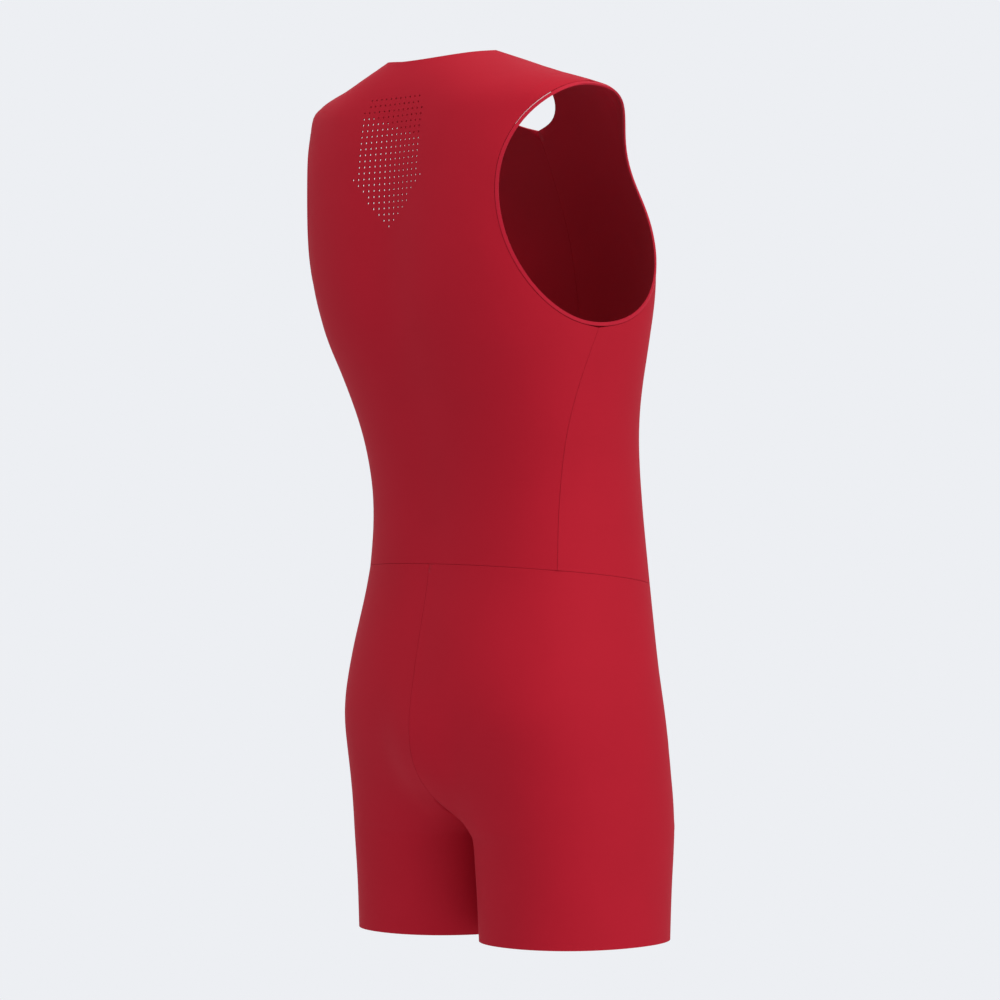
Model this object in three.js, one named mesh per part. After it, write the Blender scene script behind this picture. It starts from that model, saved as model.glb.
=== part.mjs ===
// A sleeveless one-piece triathlon suit, hollow and filled out as if worn, for a standing figure.
// Millimetres, +Z up. The wearer faces -Y, and the wearer's left is +X. The origin lies between
// the neck ends of the two shoulder seams, where the wearer's shoulders carry the suit.
import * as THREE from "three";

// Driving dimensions.
const CLOTH = 1.2; // the wall of the stretch jersey
const SEAM_GAP = 0.3; // between two pieces that are sewn together
const HALF_GAP = SEAM_GAP / 2;
const NECK_HALF_WIDTH = 65; // from the middle to the neck end of a shoulder seam
const BACK_NECK_DROP = 9; // below the neck ends of the shoulder seams, as are all levels
const FRONT_NECK_DROP = 64;
const SHOULDER_TIP = -38;
const WAIST_AT_BACK = -488;
const WAIST_AT_FRONT = -520;
const RISE_TOP = -665; // where the rise seams begin to turn in between the legs
const CROTCH = -749;
const LEG_SHAPE_TOP = -560; // where the outer side begins to take the leg's own shape
const HEM = -849;
const SIDE_SEAM_LEAN = THREE.MathUtils.degToRad(24); // round to the back, at the waist

// The worn form: a row for each level, from the neck down to the thighs. "half" is half the width,
// "side", "back" and "front" are the y of its widest line and of its middle back and front,
// "square" is 2 for an ellipse and more for a squarer ring, and "hollow" is the depth of the
// hollow down the spine.
const FORM = {
  columns: ["z", "half", "side", "back", "front", "square", "hollow"],
  rows: [
    [14, 50, 2, 36, -34, 2.0, 0],
    [0, 65, 1, 46, -46, 2.1, 0],
    [-16, 106, -8, 58, -66, 2.3, 1],
    [-38, 176, -21, 72, -94, 2.6, 3],
    [-63, 179, -25, 78, -116, 2.8, 5],
    [-103, 180, -31, 84, -135, 3.0, 7],
    [-161, 179, -38, 87, -158, 3.0, 8],
    [-223, 174, -42, 85, -171, 2.8, 7],
    [-270, 166, -44, 76, -174, 2.6, 6],
    [-350, 149, -55, 45, -175, 2.4, 4],
    [-417, 144, -68, 30, -181, 2.35, 3],
    [-491, 151, -74, 31, -184, 2.35, 3],
    [-584, 167, -70, 49, -185, 2.4, 3],
    [-650, 175, -69, 57, -190, 2.5, 3],
    [-749, 177, -78, 40, -186, 2.5, 3],
    [-850, 175, -82, 10, -178, 2.5, 3],
  ],
};;
const HOLLOW_HALF_WIDTH = 38;

// One leg of the shorts: a row for each level. "middle" and "half" are across, as x.
const LEG = {
  columns: ["z", "middle", "half", "side", "back", "front", "square"],
  rows: [
    [-640, 87, 88, -80, 26, -182, 2.3],
    [-749, 87, 86.8, -81, 20, -182, 2.3],
    [-800, 87, 86, -81, 16, -179, 2.25],
    [-850, 87.5, 85.5, -81, 14, -177, 2.2],
  ],
};;

// The armhole, as its outline from the side: the levels of its top and foot, the y of each, and
// how far it bows to the back and the front of the line between them.
const ARMHOLE = { top: SHOULDER_TIP, foot: -262, topY: -21, footY: -36, back: 94, front: 108 };
const ARMHOLE_SQUARE = 2.15;
const BINDING_WIDTH = 3.2;
const BINDING_GAP = 0.6; // wider than the other gaps, because the armhole's facets turn there
const BINDING_THICK = 1.8;

// How many cells each edge is divided into.
const SHOULDER_CELLS = 5;
const BACK_NECK_CELLS = 4;
const FRONT_NECK_CELLS = 6;
const SIDE_CELLS = 6;
const ARMHOLE_CELLS = 12;
const SEAT_CELLS = 9;
const RISE_CELLS = 6;
const LEG_CELLS = 5;
const EDGE_HOLD = 4; // how quickly a panel's rows leave the shape of its top and bottom edges

// The row of a table at level z, as an object with its columns' names, on a smooth curve
// through the rows.
function level(table, z) {
  const rows = table.rows;
  let i = 0;
  while (i < rows.length - 2 && z < rows[i + 1][0]) {
    i += 1;
  }
  const upper = rows[i];
  const lower = rows[i + 1];
  const before = rows[Math.max(i - 1, 0)];
  const after = rows[Math.min(i + 2, rows.length - 1)];
  const drop = lower[0] - upper[0];
  const k = THREE.MathUtils.clamp((z - upper[0]) / drop, 0, 1);
  const values = { z };
  table.columns.slice(1).forEach((name, place) => {
    const column = place + 1;
    const upperSlope = ((lower[column] - before[column]) / (lower[0] - before[0])) * drop;
    const lowerSlope = ((after[column] - upper[column]) / (after[0] - upper[0])) * drop;
    const ease = k * k * (3 - 2 * k);
    const fromUpper = k * (1 - k) * (1 - k) * upperSlope;
    const fromLower = k * k * (1 - k) * lowerSlope;
    values[name] = upper[column] + (lower[column] - upper[column]) * ease + fromUpper - fromLower;
  });
  return values;
}

// How far an oval ring reaches from its middle at a bearing, 0 being to the side.
function ringReach(ring, bearing) {
  const deep = Math.sin(bearing) > 0 ? ring.back - ring.side : ring.side - ring.front;
  const across = Math.abs(Math.cos(bearing) / ring.half) ** ring.square;
  const along = Math.abs(Math.sin(bearing) / deep) ** ring.square;
  return (across + along) ** (-1 / ring.square);
}

function formPoint(bearing, z) {
  const ring = level(FORM, z);
  const reach = ringReach(ring, bearing);
  const x = reach * Math.cos(bearing);
  const inBack = Math.max(Math.sin(bearing), 0);
  const hollow = ring.hollow * inBack * Math.exp(-((x / HOLLOW_HALF_WIDTH) ** 2));
  return new THREE.Vector3(x, ring.side + reach * Math.sin(bearing) - hollow, z);
}

// The outward normal of a smooth surface, from small steps along its two directions.
function normalOf(surface, a, b, stepA, stepB) {
  const alongA = surface(a + stepA, b).sub(surface(a - stepA, b));
  const alongB = surface(a, b + stepB).sub(surface(a, b - stepB));
  return alongA.cross(alongB).normalize();
}

function formNormal(bearing, z) {
  return normalOf(formPoint, bearing, z, 0.002, 0.3);
}

// The bearing, between two limits, at which a measure that only rises or only falls has a value.
function bearingWhere(measure, value, low, high) {
  const rising = measure(high) > measure(low);
  let from = low;
  let to = high;
  for (let turn = 0; turn < 40; turn += 1) {
    const middle = (from + to) / 2;
    if (measure(middle) > value === rising) {
      to = middle;
    } else {
      from = middle;
    }
  }
  return (from + to) / 2;
}

// A place on the form is a pair, its bearing and its level.
function placeOf(point) {
  const ring = level(FORM, point.z);
  return [Math.atan2(point.y - ring.side, point.x), point.z];
}

// Divides a path of places into cells of equal length on the form.
function evenly(path, cells) {
  const steps = 160;
  const lengths = [0];
  let last = formPoint(...path(0));
  for (let i = 1; i <= steps; i += 1) {
    const next = formPoint(...path(i / steps));
    lengths.push(lengths[i - 1] + next.distanceTo(last));
    last = next;
  }
  const places = [];
  let i = 0;
  for (let cell = 0; cell <= cells; cell += 1) {
    const wanted = (lengths[steps] * cell) / cells;
    while (i < steps - 1 && lengths[i + 1] < wanted) {
      i += 1;
    }
    const part = (wanted - lengths[i]) / (lengths[i + 1] - lengths[i]);
    places.push(path((i + part) / steps));
  }
  return places;
}

// The armhole's edge for turn 0, its foot, to 1, its top, by the back (face 1) or front (face -1).
function armholeEdge(face, turn) {
  const angle = (turn - 0.5) * Math.PI;
  const lift = Math.sign(Math.sin(angle)) * Math.abs(Math.sin(angle)) ** (2 / ARMHOLE_SQUARE);
  const bow = Math.cos(angle) ** (2 / ARMHOLE_SQUARE);
  const k = (lift + 1) / 2;
  const z = ARMHOLE.foot + (ARMHOLE.top - ARMHOLE.foot) * k;
  const line = ARMHOLE.footY + (ARMHOLE.topY - ARMHOLE.footY) * k;
  const y = line + bow * (face > 0 ? ARMHOLE.back : -ARMHOLE.front);
  const bearing = bearingWhere((b) => formPoint(b, z).y, y, -Math.PI / 2, Math.PI / 2);
  return [bearing, z];
}

// The same edge moved along the cloth, away from the hole.
function armholeInset(face, turn, distance) {
  const step = 0.004;
  const ahead = formPoint(...armholeEdge(face, Math.min(turn + step, 1)));
  const behind = formPoint(...armholeEdge(face, Math.max(turn - step, 0)));
  const place = armholeEdge(face, turn);
  const outward = formNormal(...place);
  const away = ahead.sub(behind).cross(outward).multiplyScalar(face).normalize();
  if (turn === 0) {
    away.set(0, 0, -1);
  }
  const moved = formPoint(...place).addScaledVector(away, distance);
  return placeOf(moved);
}

// The neckline, for turn 0 at the shoulder seam to 1 in the middle.
function neckEdge(face, turn) {
  const drop = face > 0 ? BACK_NECK_DROP : FRONT_NECK_DROP;
  const angle = (turn * Math.PI) / 2;
  const x = NECK_HALF_WIDTH * Math.cos(angle);
  const z = -drop * Math.sin(angle) ** 1.15;
  const quarter = (face * Math.PI) / 2;
  if (turn === 0) {
    return [0, z];
  }
  return [bearingWhere((b) => formPoint(b, z).x, x, 0, quarter), z];
}

function waistLevel(bearing) {
  const toFront = (1 - Math.sin(bearing)) / 2;
  return WAIST_AT_BACK + (WAIST_AT_FRONT - WAIST_AT_BACK) * toFront ** 1.5;
}

// Where the rows of a panel and its binding meet the armhole, from its foot to its top.
const armholeTurns = [];
for (let i = 0; i <= ARMHOLE_CELLS; i += 1) {
  armholeTurns.push(i / ARMHOLE_CELLS);
}
const armholeFoot = armholeInset(1, 0, BINDING_WIDTH + BINDING_GAP);

// The side seam, for turn 0 at the waist to 1 at the armhole: it leans to the back as it goes down.
function sideSeam(turn) {
  const waist = waistLevel(SIDE_SEAM_LEAN);
  const z = waist + (armholeFoot[1] - waist) * turn;
  return [SIDE_SEAM_LEAN + (armholeFoot[0] - SIDE_SEAM_LEAN) * turn ** 1.6, z];
}

// Moves a place on a seam off it by half the gap, to the back or the front.
function besideSeam(place, face) {
  const width = level(FORM, place[1]).half;
  return [place[0] + (face * HALF_GAP) / width, place[1]];
}

// Where a front's edge lies beside the centre-front seam, at a level.
function frontEdge(z) {
  return [bearingWhere((b) => formPoint(b, z).x, HALF_GAP, 0, -Math.PI / 2), z];
}

// The places of half a panel, for the wearer's left: rows from the waist up, each from the side to
// the middle. The four edges are laid out first, and the inside is blended between them.
function halfPanel(face) {
  const neckCells = face > 0 ? BACK_NECK_CELLS : FRONT_NECK_CELLS;
  const middle = (face * Math.PI) / 2;
  const tip = armholeInset(face, 1, BINDING_WIDTH + BINDING_GAP);
  const shoulder = evenly((turn) => [0, tip[1] * (1 - turn)], SHOULDER_CELLS);
  const neck = evenly((turn) => neckEdge(face, turn), neckCells).slice(1);
  const top = [...shoulder.map((place) => besideSeam(place, face)), ...neck];
  const side = evenly(sideSeam, SIDE_CELLS).map((place) => besideSeam(place, face));
  const hole = armholeTurns.map((turn) => armholeInset(face, turn, BINDING_WIDTH + BINDING_GAP));
  const outer = [...side, ...hole.slice(1, -1), top[0]];
  const rows = outer.length - 1;
  const columns = top.length - 1;
  const waist = evenly((turn) => {
    const bearing = side[0][0] + (middle - side[0][0]) * turn;
    return [bearing, waistLevel(bearing)];
  }, columns);
  const inner = evenly((turn) => {
    const foot = waistLevel(middle);
    return [middle, foot + (top[columns][1] - foot) * turn];
  }, rows);
  if (face < 0) {
    inner.forEach((place, i) => {
      inner[i] = frontEdge(place[1]);
    });
    waist[columns] = inner[0];
    top[columns] = inner[rows];
  }
  const places = [];
  for (let i = 0; i <= rows; i += 1) {
    const v = i / rows;
    const row = [];
    for (let j = 0; j <= columns; j += 1) {
      const u = j / columns;
      row.push([0, 1].map((axis) => {
        const across = outer[i][axis] * (1 - u) + inner[i][axis] * u;
        const low = waist[0][axis] * (1 - u) + waist[columns][axis] * u;
        const high = top[0][axis] * (1 - u) + top[columns][axis] * u;
        const nearWaist = (waist[j][axis] - low) * (1 - v) ** EDGE_HOLD;
        const nearTop = (top[j][axis] - high) * v ** EDGE_HOLD;
        return across + nearWaist + nearTop;
      }));
    }
    places.push(row);
  }
  places[0] = places[0].map(([bearing, z]) => [bearing, z + HALF_GAP]);
  return places;
}

// A sheet is rows of { point, normal }. This one lies on the form.
function sheetOnForm(places) {
  return places.map((row) => row.map(([bearing, z]) => ({
    point: formPoint(bearing, z),
    normal: formNormal(bearing, z),
  })));
}

function mirrored(sheet) {
  const flip = (vector) => new THREE.Vector3(-vector.x, vector.y, vector.z);
  return sheet.map((row) => row.map(({ point, normal }) => ({
    point: flip(point),
    normal: flip(normal),
  })));
}

// Gives a sheet its thickness, inwards from its own surface, and closes it at every free edge.
// Points that meet are merged first, so a sheet that closes on itself has no edge there.
function wall(sheet, thickness, proud = 0) {
  const points = [];
  const normals = [];
  const known = new Map();
  const ids = sheet.map((row) => row.map(({ point, normal }) => {
    const key = point.toArray().map((value) => Math.round(value * 200)).join();
    if (!known.has(key)) {
      known.set(key, points.length);
      points.push(point);
      normals.push(normal);
    }
    return known.get(key);
  }));
  const faces = [];
  for (let i = 0; i + 1 < ids.length; i += 1) {
    for (let j = 0; j + 1 < ids[i].length; j += 1) {
      const [a, b, c, d] = [ids[i][j], ids[i][j + 1], ids[i + 1][j + 1], ids[i + 1][j]];
      const firstCut = points[a].distanceTo(points[c]) <= points[b].distanceTo(points[d]);
      const halves = firstCut ? [[a, b, c], [a, c, d]] : [[a, b, d], [b, c, d]];
      faces.push(...halves.filter((half) => new Set(half).size === 3));
    }
  }
  const facing = faces.reduce((sum, [a, b, c]) => {
    const along = points[b].clone().sub(points[a]);
    return sum + along.cross(points[c].clone().sub(points[a])).dot(normals[a]);
  }, 0);
  const outside = facing > 0 ? faces : faces.map(([a, b, c]) => [a, c, b]);
  const edges = new Set();
  outside.forEach(([a, b, c]) => {
    [[a, b], [b, c], [c, a]].forEach((edge) => edges.add(edge.join()));
  });
  const count = points.length;
  const index = [];
  outside.forEach(([a, b, c]) => {
    index.push(a, b, c, a + count, c + count, b + count);
    [[a, b], [b, c], [c, a]].forEach(([from, to]) => {
      if (!edges.has([to, from].join())) {
        index.push(to, from, from + count, to, from + count, to + count);
      }
    });
  });
  const outer = points.map((point, id) => point.clone().addScaledVector(normals[id], proud));
  const inner = outer.map((point, id) => point.clone().addScaledVector(normals[id], -thickness));
  const geometry = new THREE.BufferGeometry().setFromPoints([...outer, ...inner]);
  geometry.setIndex(index);
  geometry.computeVertexNormals();
  return geometry;
}

const suit = new THREE.Group();
suit.name = "triathlon_suit";

function addPiece(name, geometry, look) {
  const material = new THREE.MeshStandardMaterial(look);
  const piece = new THREE.Mesh(geometry, material);
  piece.name = name;
  suit.add(piece);
}

const RED_JERSEY = { color: 0xb8142f, roughness: 0.75, metalness: 0 };
const RED_BINDING = { color: 0xc21833, roughness: 0.7, metalness: 0 };

// The upper body: a back in one piece, and a front in two that meet at a plain seam.
const backPlaces = halfPanel(1);
const frontPlaces = halfPanel(-1);
const backLeft = sheetOnForm(backPlaces);
const frontLeft = sheetOnForm(frontPlaces);
const backRight = mirrored(backLeft);
const back = backLeft.map((row, i) => [...row, ...backRight[i].slice(0, -1).reverse()]);
addPiece("back", wall(back, CLOTH), RED_JERSEY);
addPiece("front_left", wall(frontLeft, CLOTH), RED_JERSEY);
addPiece("front_right", wall(mirrored(frontLeft), CLOTH), RED_JERSEY);

// The shorts: each piece wraps one leg, with no side seam. Its rows run from the centre front round
// the outside to the centre back, and below the crotch they close at the inside leg.
const waistPlaces = [...frontPlaces[0].slice().reverse(), ...backPlaces[0].slice(1)];
const waistBearings = waistPlaces.map((place) => place[0]);
waistBearings[0] = -Math.PI / 2;
const shortsColumns = waistBearings.length - 1;

function shortsPoint(column, row) {
  const { z, inLeg } = row;
  const j = THREE.MathUtils.clamp(Math.floor(column), 0, shortsColumns - 1);
  const bearing = waistBearings[j] + (waistBearings[j + 1] - waistBearings[j]) * (column - j);
  const belowWaist = z + (waistLevel(bearing) - waistLevel(Math.PI / 2)) * row.waistShare;
  const onHips = formPoint(bearing, belowWaist);
  const ring = level(LEG, z);
  const turn = (column / shortsColumns) * 2 * Math.PI - Math.PI;
  const reach = ringReach(ring, turn);
  const onLeg = new THREE.Vector3(
    ring.middle + reach * Math.cos(turn),
    ring.side + reach * Math.sin(turn),
    belowWaist,
  );
  const inside = Math.cos((column / shortsColumns) * Math.PI) ** 4;
  const outerShare = THREE.MathUtils.smoothstep(-z, -LEG_SHAPE_TOP, -CROTCH);
  return onHips.lerp(onLeg, inLeg * inside + outerShare * (1 - inside));
}

const shortsRows = [];
for (let i = 0; i < SEAT_CELLS; i += 1) {
  const k = i / SEAT_CELLS;
  const z = WAIST_AT_BACK - HALF_GAP + (RISE_TOP - WAIST_AT_BACK) * k;
  shortsRows.push({ z, inLeg: 0, waistShare: 1 - k });
}
for (let i = 0; i <= RISE_CELLS; i += 1) {
  const angle = ((i / RISE_CELLS) * Math.PI) / 2;
  const z = RISE_TOP + (CROTCH - RISE_TOP) * Math.sin(angle);
  shortsRows.push({ z, inLeg: 1 - Math.cos(angle), waistShare: 0 });
}
for (let i = 1; i <= LEG_CELLS; i += 1) {
  const z = CROTCH + ((HEM - CROTCH) * i) / LEG_CELLS;
  shortsRows.push({ z, inLeg: 1, waistShare: 0 });
}

// A small step down a leg, for its normals.
function stepped(row, step) {
  return { ...row, z: row.z + step };
}

const legLeft = shortsRows.map((row) => {
  const cells = [];
  for (let column = 0; column <= shortsColumns; column += 1) {
    const point = shortsPoint(column, row);
    const around = shortsPoint(column + 0.01, row).sub(shortsPoint(column - 0.01, row));
    const upward = shortsPoint(column, stepped(row, 0.3)).sub(
      shortsPoint(column, stepped(row, -0.3)),
    );
    const normal = around.cross(upward).normalize();
    const atMiddle = row.inLeg < 1 && (column === 0 || column === shortsColumns);
    if (atMiddle) {
      normal.x = 0;
      normal.normalize();
      point.x = HALF_GAP;
    }
    cells.push({ point, normal });
  }
  return cells;
});
addPiece("leg_left", wall(legLeft, CLOTH), RED_JERSEY);
addPiece("leg_right", wall(mirrored(legLeft), CLOTH), RED_JERSEY);

// A narrow binding round each armhole, in one loop: up by the back and down by the front.
const bindingPlaces = [];
[1, -1].forEach((face) => {
  for (let i = 0; i < ARMHOLE_CELLS; i += 1) {
    const turn = face > 0 ? i / ARMHOLE_CELLS : 1 - i / ARMHOLE_CELLS;
    bindingPlaces.push([armholeEdge(face, turn), armholeInset(face, turn, BINDING_WIDTH)]);
  }
});
bindingPlaces.push(bindingPlaces[0]);
const bindingLeft = sheetOnForm(bindingPlaces);
const bindingProud = (BINDING_THICK - CLOTH) / 2;
addPiece("binding_left", wall(bindingLeft, BINDING_THICK, bindingProud), RED_BINDING);
addPiece("binding_right", wall(mirrored(bindingLeft), BINDING_THICK, bindingProud), RED_BINDING);

export default suit;
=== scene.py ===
import math

import bpy
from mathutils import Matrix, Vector


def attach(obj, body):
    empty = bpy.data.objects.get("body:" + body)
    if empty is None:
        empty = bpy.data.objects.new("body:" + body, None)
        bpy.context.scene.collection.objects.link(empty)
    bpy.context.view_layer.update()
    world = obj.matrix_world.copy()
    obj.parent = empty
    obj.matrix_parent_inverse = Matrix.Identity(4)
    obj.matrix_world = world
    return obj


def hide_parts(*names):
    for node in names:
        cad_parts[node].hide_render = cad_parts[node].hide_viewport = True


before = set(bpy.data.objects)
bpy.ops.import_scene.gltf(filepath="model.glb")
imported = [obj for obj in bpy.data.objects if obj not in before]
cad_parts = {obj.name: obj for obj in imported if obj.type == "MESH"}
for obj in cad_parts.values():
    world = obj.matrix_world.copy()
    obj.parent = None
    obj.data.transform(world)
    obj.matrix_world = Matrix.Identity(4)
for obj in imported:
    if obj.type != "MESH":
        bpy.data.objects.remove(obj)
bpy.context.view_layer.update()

# The back: one piece of warp-knitted polyester and elastane from waist to shoulders, cut in the
# flat and worn taut. Between the shoulder blades it is laser-cut with small round holes in
# straight rows, in a zone that narrows to a point down the spine.
JERSEY_RED = "#B90A26"
JERSEY_SHADE = "#B00822"
KNIT_BAND = 0.00754  # faint bands round the body; the real courses, 0.4 mm apart, are too fine
KNIT_DEPTH = 0.00008
WAVE_TURN = 2 * math.pi / 20  # a wave texture of scale 1 has one band in this many metres
HOLE_RADIUS = 0.0011
HOLE_ACROSS = 0.0068
HOLE_DOWN = 0.0058
ZONE_TOP = -0.046
ZONE_WIDEST = -0.125
ZONE_TIP = -0.172
ZONE_TOP_HALF = 0.040
ZONE_WIDEST_HALF = 0.048
PUNCH_PLACE = 0.06  # the punches' middle, front to back, so that they pass through the back only
PUNCH_LENGTH = 0.1
PUNCH_SIDES = 10
SAME_POINT = 0.00002
SHARP_EDGE = math.radians(55)
SMOOTH_ANGLE = math.radians(40)
FINER_LEVELS = 2


def linear(hex_colour):
    """An sRGB hex colour as linear red, green, blue and alpha."""
    parts = [int(hex_colour[i : i + 2], 16) / 255 for i in (1, 3, 5)]
    return [c / 12.92 if c <= 0.04045 else ((c + 0.055) / 1.055) ** 2.4 for c in parts] + [1.0]


def add_node(tree, kind, settings=None, links=None):
    """Adds a node, with its settings and with links from other nodes' outputs to its inputs."""
    node = tree.nodes.new(kind)
    for name, value in (settings or {}).items():
        if name in node.inputs:
            node.inputs[name].default_value = value
        else:
            setattr(node, name, value)
    for name, output in (links or {}).items():
        tree.links.new(output, node.inputs[name])
    return node


def stretch_knit(name, main_hex, shade_hex, roughness):
    """Matt warp knit: a soft edge sheen, faint cloudy dye, and faint bands round the body."""
    material = bpy.data.materials.new(name)
    material.use_nodes = True
    tree = material.node_tree
    shader = tree.nodes["Principled BSDF"]
    shader.inputs["Roughness"].default_value = roughness
    shader.inputs["Specular IOR Level"].default_value = 0.25
    shader.inputs["Sheen Weight"].default_value = 0.04
    shader.inputs["Sheen Roughness"].default_value = 0.45
    shader.inputs["Sheen Tint"].default_value = linear("#E0506A")
    place = add_node(tree, "ShaderNodeTexCoord").outputs["Object"]
    dye = add_node(tree, "ShaderNodeTexNoise", {"Scale": 14.0, "Detail": 3.0}, {"Vector": place})
    tint = add_node(tree, "ShaderNodeMix", {"data_type": "RGBA"}, {"Factor": dye.outputs["Fac"]})
    tint.inputs[6].default_value = linear(main_hex)
    tint.inputs[7].default_value = linear(shade_hex)
    tree.links.new(tint.outputs[2], shader.inputs["Base Color"])
    courses = add_node(
        tree,
        "ShaderNodeTexWave",
        {"bands_direction": "Z", "Scale": WAVE_TURN / KNIT_BAND, "Distortion": 0.4},
        {"Vector": place},
    )
    bump = add_node(
        tree,
        "ShaderNodeBump",
        {"Strength": 0.35, "Distance": KNIT_DEPTH},
        {"Height": courses.outputs["Fac"]},
    )
    tree.links.new(bump.outputs["Normal"], shader.inputs["Normal"])
    return material


WALL_EDGE = 0.003  # longer than any edge across a wall, and shorter than any edge along one
CORNER_TURN = math.radians(50)


def release_smooth_stretches(cloth):
    """Leaves the edges along a cut edge selected, and those across it only at its corners."""
    along = {}
    for edge in cloth.edges:
        first, second = (cloth.vertices[v].co for v in edge.vertices)
        if edge.select and (second - first).length > WALL_EDGE:
            along.setdefault(edge.vertices[0], []).append(second - first)
            along.setdefault(edge.vertices[1], []).append(first - second)
    for edge in cloth.edges:
        first, second = (cloth.vertices[v].co for v in edge.vertices)
        ways = along.get(edge.vertices[0], [])
        straight = len(ways) == 2 and math.pi - ways[0].angle(ways[1]) < CORNER_TURN
        if (second - first).length < WALL_EDGE and straight:
            edge.select = False


def sewn_piece(node_name, piece_name, material):
    """A smooth, taut cloth wall on the form of its solid, with its cut edges kept crisp."""
    bpy.ops.object.select_all(action="DESELECT")
    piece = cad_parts[node_name].copy()
    piece.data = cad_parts[node_name].data.copy()
    for key in list(piece.keys()):
        del piece[key]
    piece.parent = None
    piece.name = piece_name
    bpy.context.scene.collection.objects.link(piece)
    piece.select_set(True)
    bpy.context.view_layer.objects.active = piece
    bpy.ops.object.mode_set(mode="EDIT")
    bpy.ops.mesh.select_all(action="SELECT")
    bpy.ops.mesh.remove_doubles(threshold=SAME_POINT)
    bpy.ops.mesh.tris_convert_to_quads(face_threshold=0.7, shape_threshold=0.9)
    bpy.ops.mesh.select_all(action="DESELECT")
    bpy.ops.mesh.select_mode(type="EDGE")
    bpy.ops.mesh.edges_select_sharp(sharpness=SHARP_EDGE)
    bpy.ops.object.mode_set(mode="OBJECT")
    release_smooth_stretches(piece.data)
    bpy.ops.object.mode_set(mode="EDIT")
    bpy.ops.transform.edge_crease(value=1.0)
    bpy.ops.mesh.select_mode(type="VERT")
    bpy.ops.object.mode_set(mode="OBJECT")
    finer = piece.modifiers.new("finer", "SUBSURF")
    finer.levels = FINER_LEVELS
    finer.render_levels = FINER_LEVELS
    bpy.ops.object.modifier_apply(modifier=finer.name)
    piece.data.materials.clear()
    piece.data.materials.append(material)
    bpy.ops.object.shade_smooth_by_angle(angle=SMOOTH_ANGLE)
    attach(piece, "root")
    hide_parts(node_name)
    return piece


jersey = stretch_knit("red_warp_knit_jersey", JERSEY_RED, JERSEY_SHADE, 0.78)
back = sewn_piece("back", "back_panel", jersey)

bpy.ops.object.select_all(action="DESELECT")
punches = []
rows_down = int((ZONE_TOP - ZONE_TIP) / HOLE_DOWN)
for row in range(rows_down + 1):
    z = ZONE_TOP - row * HOLE_DOWN
    if z > ZONE_WIDEST:
        share = (ZONE_TOP - z) / (ZONE_TOP - ZONE_WIDEST)
        half = ZONE_TOP_HALF + (ZONE_WIDEST_HALF - ZONE_TOP_HALF) * share
    else:
        half = ZONE_WIDEST_HALF * (z - ZONE_TIP) / (ZONE_WIDEST - ZONE_TIP)
    each_side = int(half / HOLE_ACROSS)
    for column in range(-each_side, each_side + 1):
        bpy.ops.mesh.primitive_cylinder_add(
            vertices=PUNCH_SIDES,
            radius=HOLE_RADIUS,
            depth=PUNCH_LENGTH,
            location=(column * HOLE_ACROSS, PUNCH_PLACE, z),
            rotation=(math.radians(90), 0, 0),
        )
        punches.append(bpy.context.active_object)
for punch in punches:
    punch.select_set(True)
bpy.context.view_layer.objects.active = punches[0]
bpy.ops.object.join()
punch = bpy.context.active_object
bpy.ops.object.select_all(action="DESELECT")
back.select_set(True)
bpy.context.view_layer.objects.active = back
holes = back.modifiers.new("laser_cut_holes", "BOOLEAN")
holes.operation = "DIFFERENCE"
holes.object = punch
holes.solver = "EXACT"
bpy.ops.object.modifier_apply(modifier=holes.name)
bpy.data.objects.remove(punch)

# The two fronts: mirrored pieces in the same jersey, joined to the back at the side and shoulder
# seams and to each other down the middle, with flat seams that show as fine lines.
fronts = [
    sewn_piece(f"front_{side}", f"front_panel_{side}", jersey)
    for side in ("left", "right")
]

# The shorts: one piece of jersey round each leg with no side seam, joined at the rise and inside
# leg. The hem is cut raw and bonded, so that it lies flat on the thigh.
legs = [
    sewn_piece(f"leg_{side}", f"shorts_{side}", jersey)
    for side in ("left", "right")
]

# The armhole bindings: narrow strips of the same knit, folded over the cut edge and bonded, a
# little smoother than the jersey beside them. Their colour is painted a little lighter than the
# jersey's, as a painted highlight for the light that catches the folded edge.
# The binding colours are lighter than the jersey's: a painted highlight where light catches the
# folded edge.
binding_knit_painted_highlight = stretch_knit("red_knit_binding_painted_highlight", "#C10F2D", "#B80C29", 0.65)
bindings = [
    sewn_piece(f"binding_{side}", f"armhole_binding_{side}", binding_knit_painted_highlight)
    for side in ("left", "right")
]

# The room: a plain pale floor below the wearer's feet, an even pale surround, and three soft
# lamps, the largest above and to the side that the wearer's right hip faces.
PALE = "#EDEFF3"
FLOOR_LEVEL = -1.5
FLOOR_SIZE = 30


def pale_surround(tree, shaded, target):
    """Shows an even pale colour to the camera, and to gloss, and the shaded one to all else."""
    path = add_node(tree, "ShaderNodeLightPath")
    sees = add_node(tree, "ShaderNodeMath", {"operation": "MAXIMUM"})
    tree.links.new(path.outputs["Is Camera Ray"], sees.inputs[0])
    tree.links.new(path.outputs["Is Glossy Ray"], sees.inputs[1])
    both = add_node(tree, "ShaderNodeMath", {"operation": "MAXIMUM"})
    tree.links.new(sees.outputs[0], both.inputs[0])
    tree.links.new(path.outputs["Is Transmission Ray"], both.inputs[1])
    even_kind = "ShaderNodeBackground" if target.type == "OUTPUT_WORLD" else "ShaderNodeEmission"
    even = add_node(tree, even_kind, {"Color": linear(PALE), "Strength": 1.0})
    mix = add_node(tree, "ShaderNodeMixShader", None, {"Fac": both.outputs[0]})
    tree.links.new(shaded, mix.inputs[1])
    tree.links.new(even.outputs[0], mix.inputs[2])
    tree.links.new(mix.outputs[0], target.inputs["Surface"])


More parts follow.
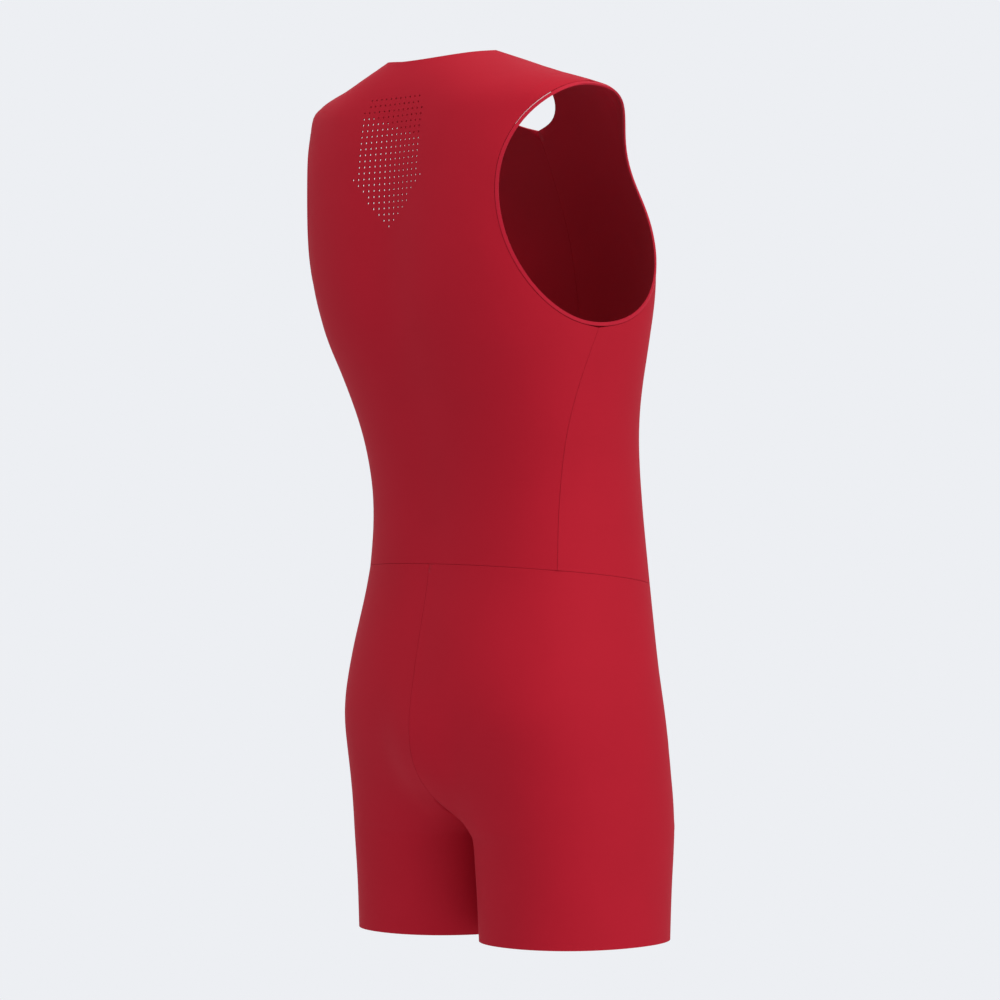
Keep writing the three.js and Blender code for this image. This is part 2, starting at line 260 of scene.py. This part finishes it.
bpy.ops.object.select_all(action="DESELECT")
bpy.ops.mesh.primitive_plane_add(size=FLOOR_SIZE, location=(0, 0, FLOOR_LEVEL))
floor = bpy.context.active_object
floor.name = "floor"
floor_paint = bpy.data.materials.new("pale_matt_floor")
floor_paint.use_nodes = True
floor_tree = floor_paint.node_tree
floor_shader = floor_tree.nodes["Principled BSDF"]
floor_shader.inputs["Base Color"].default_value = linear(PALE)
floor_shader.inputs["Roughness"].default_value = 0.9
floor_output = floor_tree.nodes["Material Output"]
pale_surround(floor_tree, floor_shader.outputs["BSDF"], floor_output)
floor.data.materials.append(floor_paint)

world = bpy.data.worlds.new("pale_studio")
bpy.context.scene.world = world
world.use_nodes = True
world_tree = world.node_tree
soft_fill = world_tree.nodes["Background"]
soft_fill.inputs["Color"].default_value = linear(PALE)
soft_fill.inputs["Strength"].default_value = 0.48
pale_surround(world_tree, soft_fill.outputs[0], world_tree.nodes["World Output"])

middle = Vector((0, -0.045, -0.427))
for name, place, power, size in (
    ("overhead", (-0.8, 0.5, 2.2), 34, 2.0),
    ("hip_side", (-2.6, -0.4, 0.4), 30, 1.6),
    ("behind", (0.4, 2.8, 0.5), 9, 1.8),
):
    lamp_data = bpy.data.lights.new(name, "AREA")
    lamp_data.energy = power
    lamp_data.size = size
    lamp = bpy.data.objects.new(name, lamp_data)
    lamp.location = place
    lamp.rotation_euler = (middle - lamp.location).to_track_quat("-Z", "Y").to_euler()
    bpy.context.scene.collection.objects.link(lamp)

# The camera: level, at waist height, behind the wearer and round to the right.
ROUND_TO_RIGHT = math.radians(47)
DISTANCE = 3.618
FRAME_ACROSS = 0.97
SIDEWAYS = 0.01455
toward = Vector((-math.sin(ROUND_TO_RIGHT), math.cos(ROUND_TO_RIGHT), 0))
to_picture_right = Vector((-math.cos(ROUND_TO_RIGHT), -math.sin(ROUND_TO_RIGHT), 0))
camera_data = bpy.data.cameras.new("camera")
camera_data.sensor_width = 36
camera_data.lens = camera_data.sensor_width * DISTANCE / FRAME_ACROSS
camera = bpy.data.objects.new("camera", camera_data)
camera.location = middle + to_picture_right * SIDEWAYS + toward * DISTANCE
camera.rotation_euler = (-toward).to_track_quat("-Z", "Y").to_euler()
bpy.context.scene.collection.objects.link(camera)
bpy.context.scene.camera = camera
bpy.context.scene.view_settings.view_transform = "Standard"
